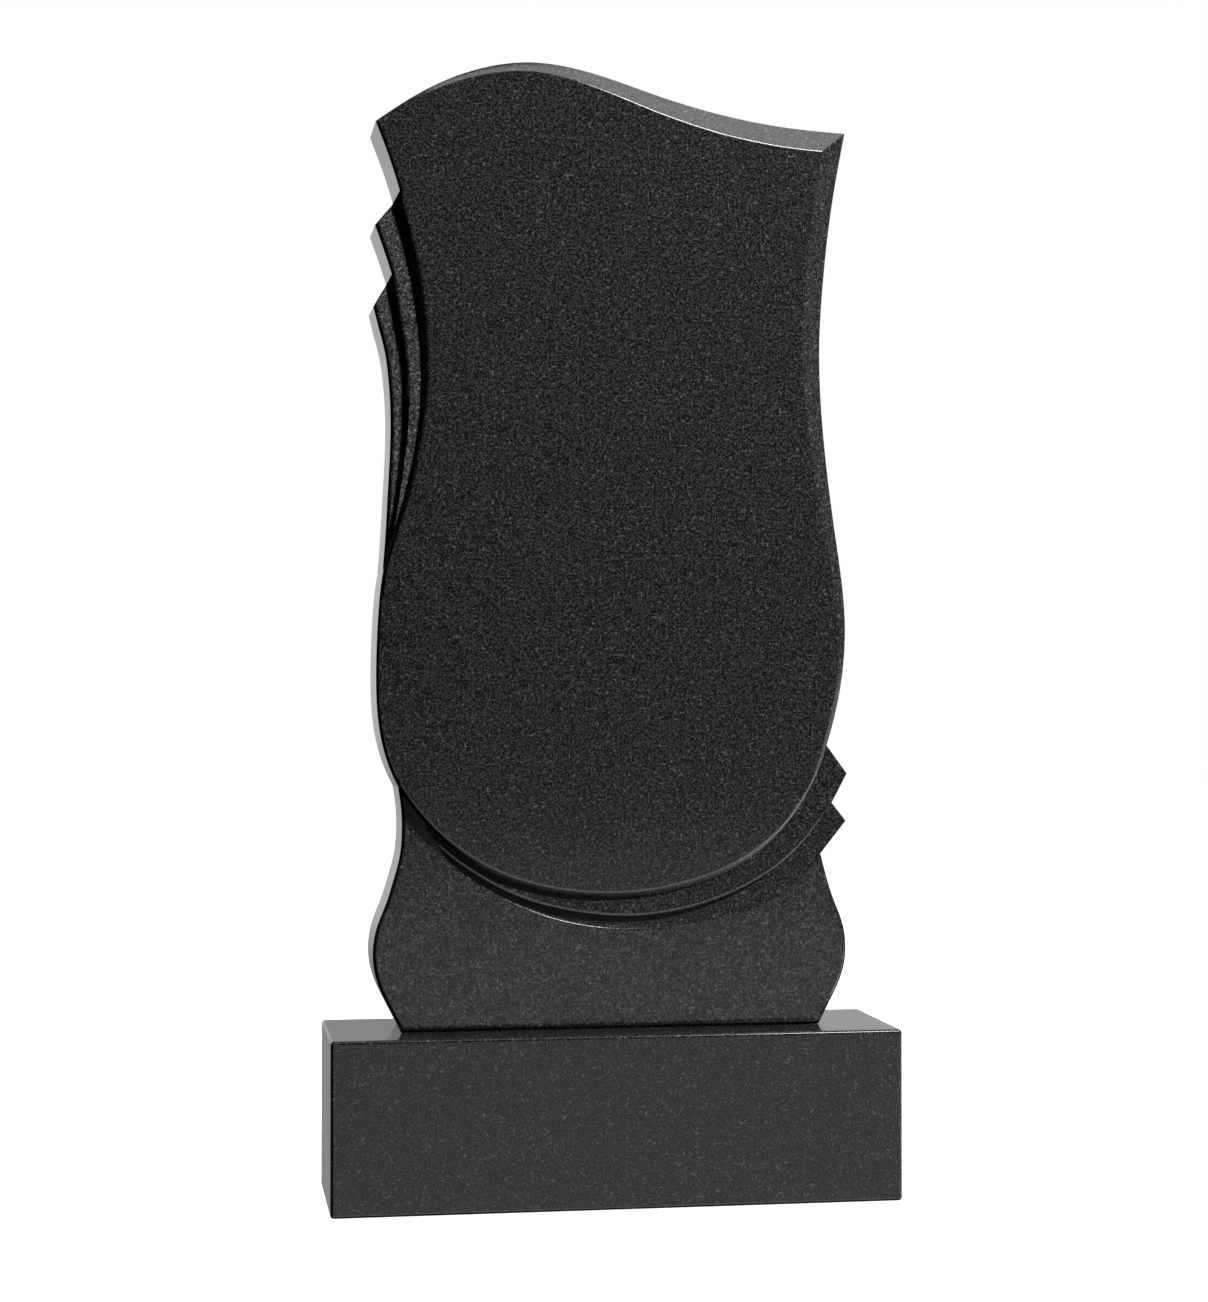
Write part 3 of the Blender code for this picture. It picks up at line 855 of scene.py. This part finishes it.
class HEADSTONE_OT_stage(bpy.types.Operator):
    """Sets the pale floor, the studio lights and the camera."""

    bl_idname = "headstone.stage"
    bl_label = "Stage"

    def execute(self, context):
        settings = context.scene.headstone_stage
        context.scene.view_settings.view_transform = "Standard"
        add_floor(settings)
        add_world()
        add_lights(settings)
        add_camera(settings)
        return {"FINISHED"}


def add_floor(settings):
    """A wide pale floor at the plinth's underside, which the stone neither mirrors nor is lit by."""
    mesh = bmesh.new()
    bmesh.ops.create_grid(mesh, x_segments=1, y_segments=1, size=FLOOR_REACH)
    bmesh.ops.translate(mesh, vec=(0, 0, PLINTH_LOW.z - FLOOR_GAP), verts=mesh.verts)
    data = bpy.data.meshes.new("floor")
    mesh.to_mesh(data)
    mesh.free()
    floor = bpy.data.objects.new("floor", data)
    bpy.context.scene.collection.objects.link(floor)
    paint = bpy.data.materials.new("floor_paint")
    paint.use_nodes = True
    shader = paint.node_tree.nodes["Principled BSDF"]
    shader.inputs["Base Color"].default_value = (*settings.floor_colour, 1)
    shader.inputs["Roughness"].default_value = FLOOR_ROUGHNESS
    shader.inputs["Specular IOR Level"].default_value = 0.0
    shader.inputs["Emission Color"].default_value = WHITE
    shader.inputs["Emission Strength"].default_value = 1.0
    data.materials.append(paint)
    floor.visible_diffuse = False
    floor.visible_glossy = False


def add_world():
    """A studio that only the polish mirrors. The camera sees plain white in its place.

    It is light behind the stone, faint on the right, dark in front and on the left, and its ground
    glows towards the front.
    """
    world = bpy.data.worlds.new("studio")
    bpy.context.scene.world = world
    world.use_nodes = True
    tree = world.node_tree
    background = tree.nodes["Background"]
    direction = tree.nodes.new("ShaderNodeTexCoord").outputs["Generated"]
    split = tree.nodes.new("ShaderNodeSeparateXYZ")
    tree.links.new(direction, split.inputs[0])

    def step(value, low, high, strength):
        return soft_step(tree, value, low, high, 0.0, strength)

    def added(first, second):
        return math_node(tree, "ADD", first, second)

    def multiplied(first, second):
        return math_node(tree, "MULTIPLY", first, second)

    x, y, z = split.outputs
    across_wall = added(step(x, *BACK_WALL_RIGHT), BACK_WALL_MIDDLE)
    across_wall = added(step(x, *BACK_WALL_LEFT), across_wall)
    up_wall = added(step(z, *BACK_WALL_ABOVE), BACK_WALL_BELOW)
    back_wall = multiplied(multiplied(step(y, *BACK_WALL), across_wall), up_wall)
    in_front = step(y, *FRONT_HALF)
    right_wall = multiplied(step(x, *RIGHT_WALL), in_front)
    down_ground = added(step(z, *GROUND_FAR), step(z, *GROUND_NEAR))
    down_ground = multiplied(down_ground, step(z, *GROUND_UNDERFOOT))
    across_ground = added(step(x, *GROUND_MIDDLE), step(x, *GROUND_RIGHT))
    ground = multiplied(multiplied(down_ground, in_front), across_ground)
    total = DARK_CORNERS
    for share in (back_wall, right_wall, ground):
        total = added(share, total)
    path = tree.nodes.new("ShaderNodeLightPath")
    reflected = multiplied(total, path.outputs["Is Glossy Ray"])
    strength = math_node(tree, "MAXIMUM", reflected, path.outputs["Is Camera Ray"])
    background.inputs["Color"].default_value = WHITE
    tree.links.new(strength, background.inputs["Strength"])


def area_light(name, place, aim, size, power):
    """A soft rectangular light at a place, turned to a point."""
    data = bpy.data.lights.new(name, "AREA")
    data.shape = "RECTANGLE"
    data.size, data.size_y = size
    data.energy = power
    light = bpy.data.objects.new(name, data)
    light.location = place
    light.rotation_euler = (Vector(aim) - Vector(place)).to_track_quat("-Z", "Y").to_euler()
    bpy.context.scene.collection.objects.link(light)
    return light


def add_lights(settings):
    """Two lights that only shade the stone, and two above its front that are only mirrored in it.

    The key stands at the upper right in front, and the fill behind at the left.
    """
    key = area_light("key", *KEY_LIGHT, settings.key_power)
    fill = area_light("fill", *FILL_LIGHT, settings.fill_power)
    for light in (key, fill):
        light.visible_glossy = False
    top = area_light("top", *TOP_LIGHT, settings.top_power)
    accent = area_light("accent", *ACCENT_LIGHT, settings.accent_power)
    for light in (top, accent):
        light.visible_diffuse = False


def add_camera(settings):
    """The camera, low and a little to the left, looking slightly right."""
    data = bpy.data.cameras.new("camera")
    data.lens = settings.lens
    data.sensor_width = SENSOR_WIDTH
    camera = bpy.data.objects.new("camera", data)
    camera.location = CAMERA_PLACE
    camera.rotation_euler = (math.radians(CAMERA_TILT), 0, math.radians(CAMERA_TURN))
    bpy.context.scene.collection.objects.link(camera)
    bpy.context.scene.camera = camera


class HEADSTONE_PT_panel(bpy.types.Panel):
    """Lists the headstone's sizes, colours and steps."""

    bl_idname = "HEADSTONE_PT_panel"
    bl_label = "Headstone"
    bl_space_type = "VIEW_3D"
    bl_region_type = "UI"
    bl_category = "Headstone"

    def draw(self, context):
        scene = context.scene
        for settings, operator in (
            (scene.headstone_slab, HEADSTONE_OT_slab),
            (scene.headstone_plinth, HEADSTONE_OT_plinth),
            (scene.headstone_granite, None),
            (scene.headstone_stage, HEADSTONE_OT_stage),
        ):
            box = self.layout.box()
            for name in settings.__annotations__:
                box.prop(settings, name)
            if operator:
                box.operator(operator.bl_idname)


CLASSES = (
    SlabSettings, PlinthSettings, GraniteSettings, StageSettings,
    HEADSTONE_OT_slab, HEADSTONE_OT_plinth, HEADSTONE_OT_stage, HEADSTONE_PT_panel,
)
SETTINGS = {
    "headstone_slab": SlabSettings,
    "headstone_plinth": PlinthSettings,
    "headstone_granite": GraniteSettings,
    "headstone_stage": StageSettings,
}


def register():
    for item in CLASSES:
        bpy.utils.register_class(item)
    for name, group in SETTINGS.items():
        setattr(bpy.types.Scene, name, bpy.props.PointerProperty(type=group))


def unregister():
    for name in SETTINGS:
        delattr(bpy.types.Scene, name)
    for item in reversed(CLASSES):
        bpy.utils.unregister_class(item)


def main():
    """Builds every piece and the stage."""
    register()
    bpy.ops.headstone.slab()
    bpy.ops.headstone.plinth()
    bpy.ops.headstone.stage()


if __name__ == "__main__":
    main()
